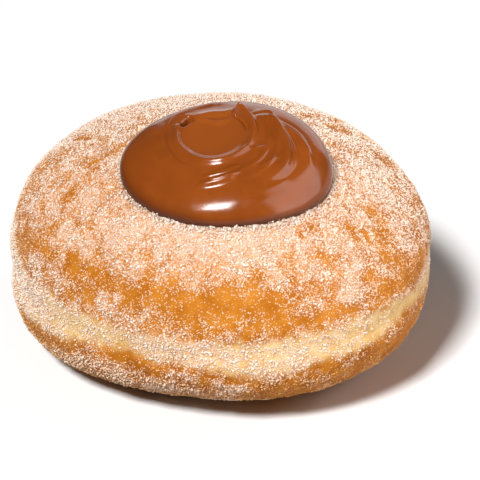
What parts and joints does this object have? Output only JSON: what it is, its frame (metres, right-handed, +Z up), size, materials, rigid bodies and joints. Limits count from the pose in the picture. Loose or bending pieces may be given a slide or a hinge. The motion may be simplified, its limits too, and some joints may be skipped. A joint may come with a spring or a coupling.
{
  "type": "filled doughnut",
  "caption": "Round uncut sugared doughnut with a pale belt round its side and a swirled dollop of chocolate cream on top.",
  "frame": {"origin": "centre of the flat base, under the middle of the doughnut's box", "axes": "+Z up out of the cream, -Y towards the front where the dollop hangs over, +X to the right of the front"},
  "size_m": [0.0898, 0.088, 0.0584],
  "materials": {
    "sugared_crust": "golden fried crust coated in granulated sugar",
    "chocolate_cream": "glossy soft chocolate cream"
  },
  "bodies": {
    "root": {"dough": "sugared_crust", "chocolate_cream": "chocolate_cream"}
  },
  "joints": []
}
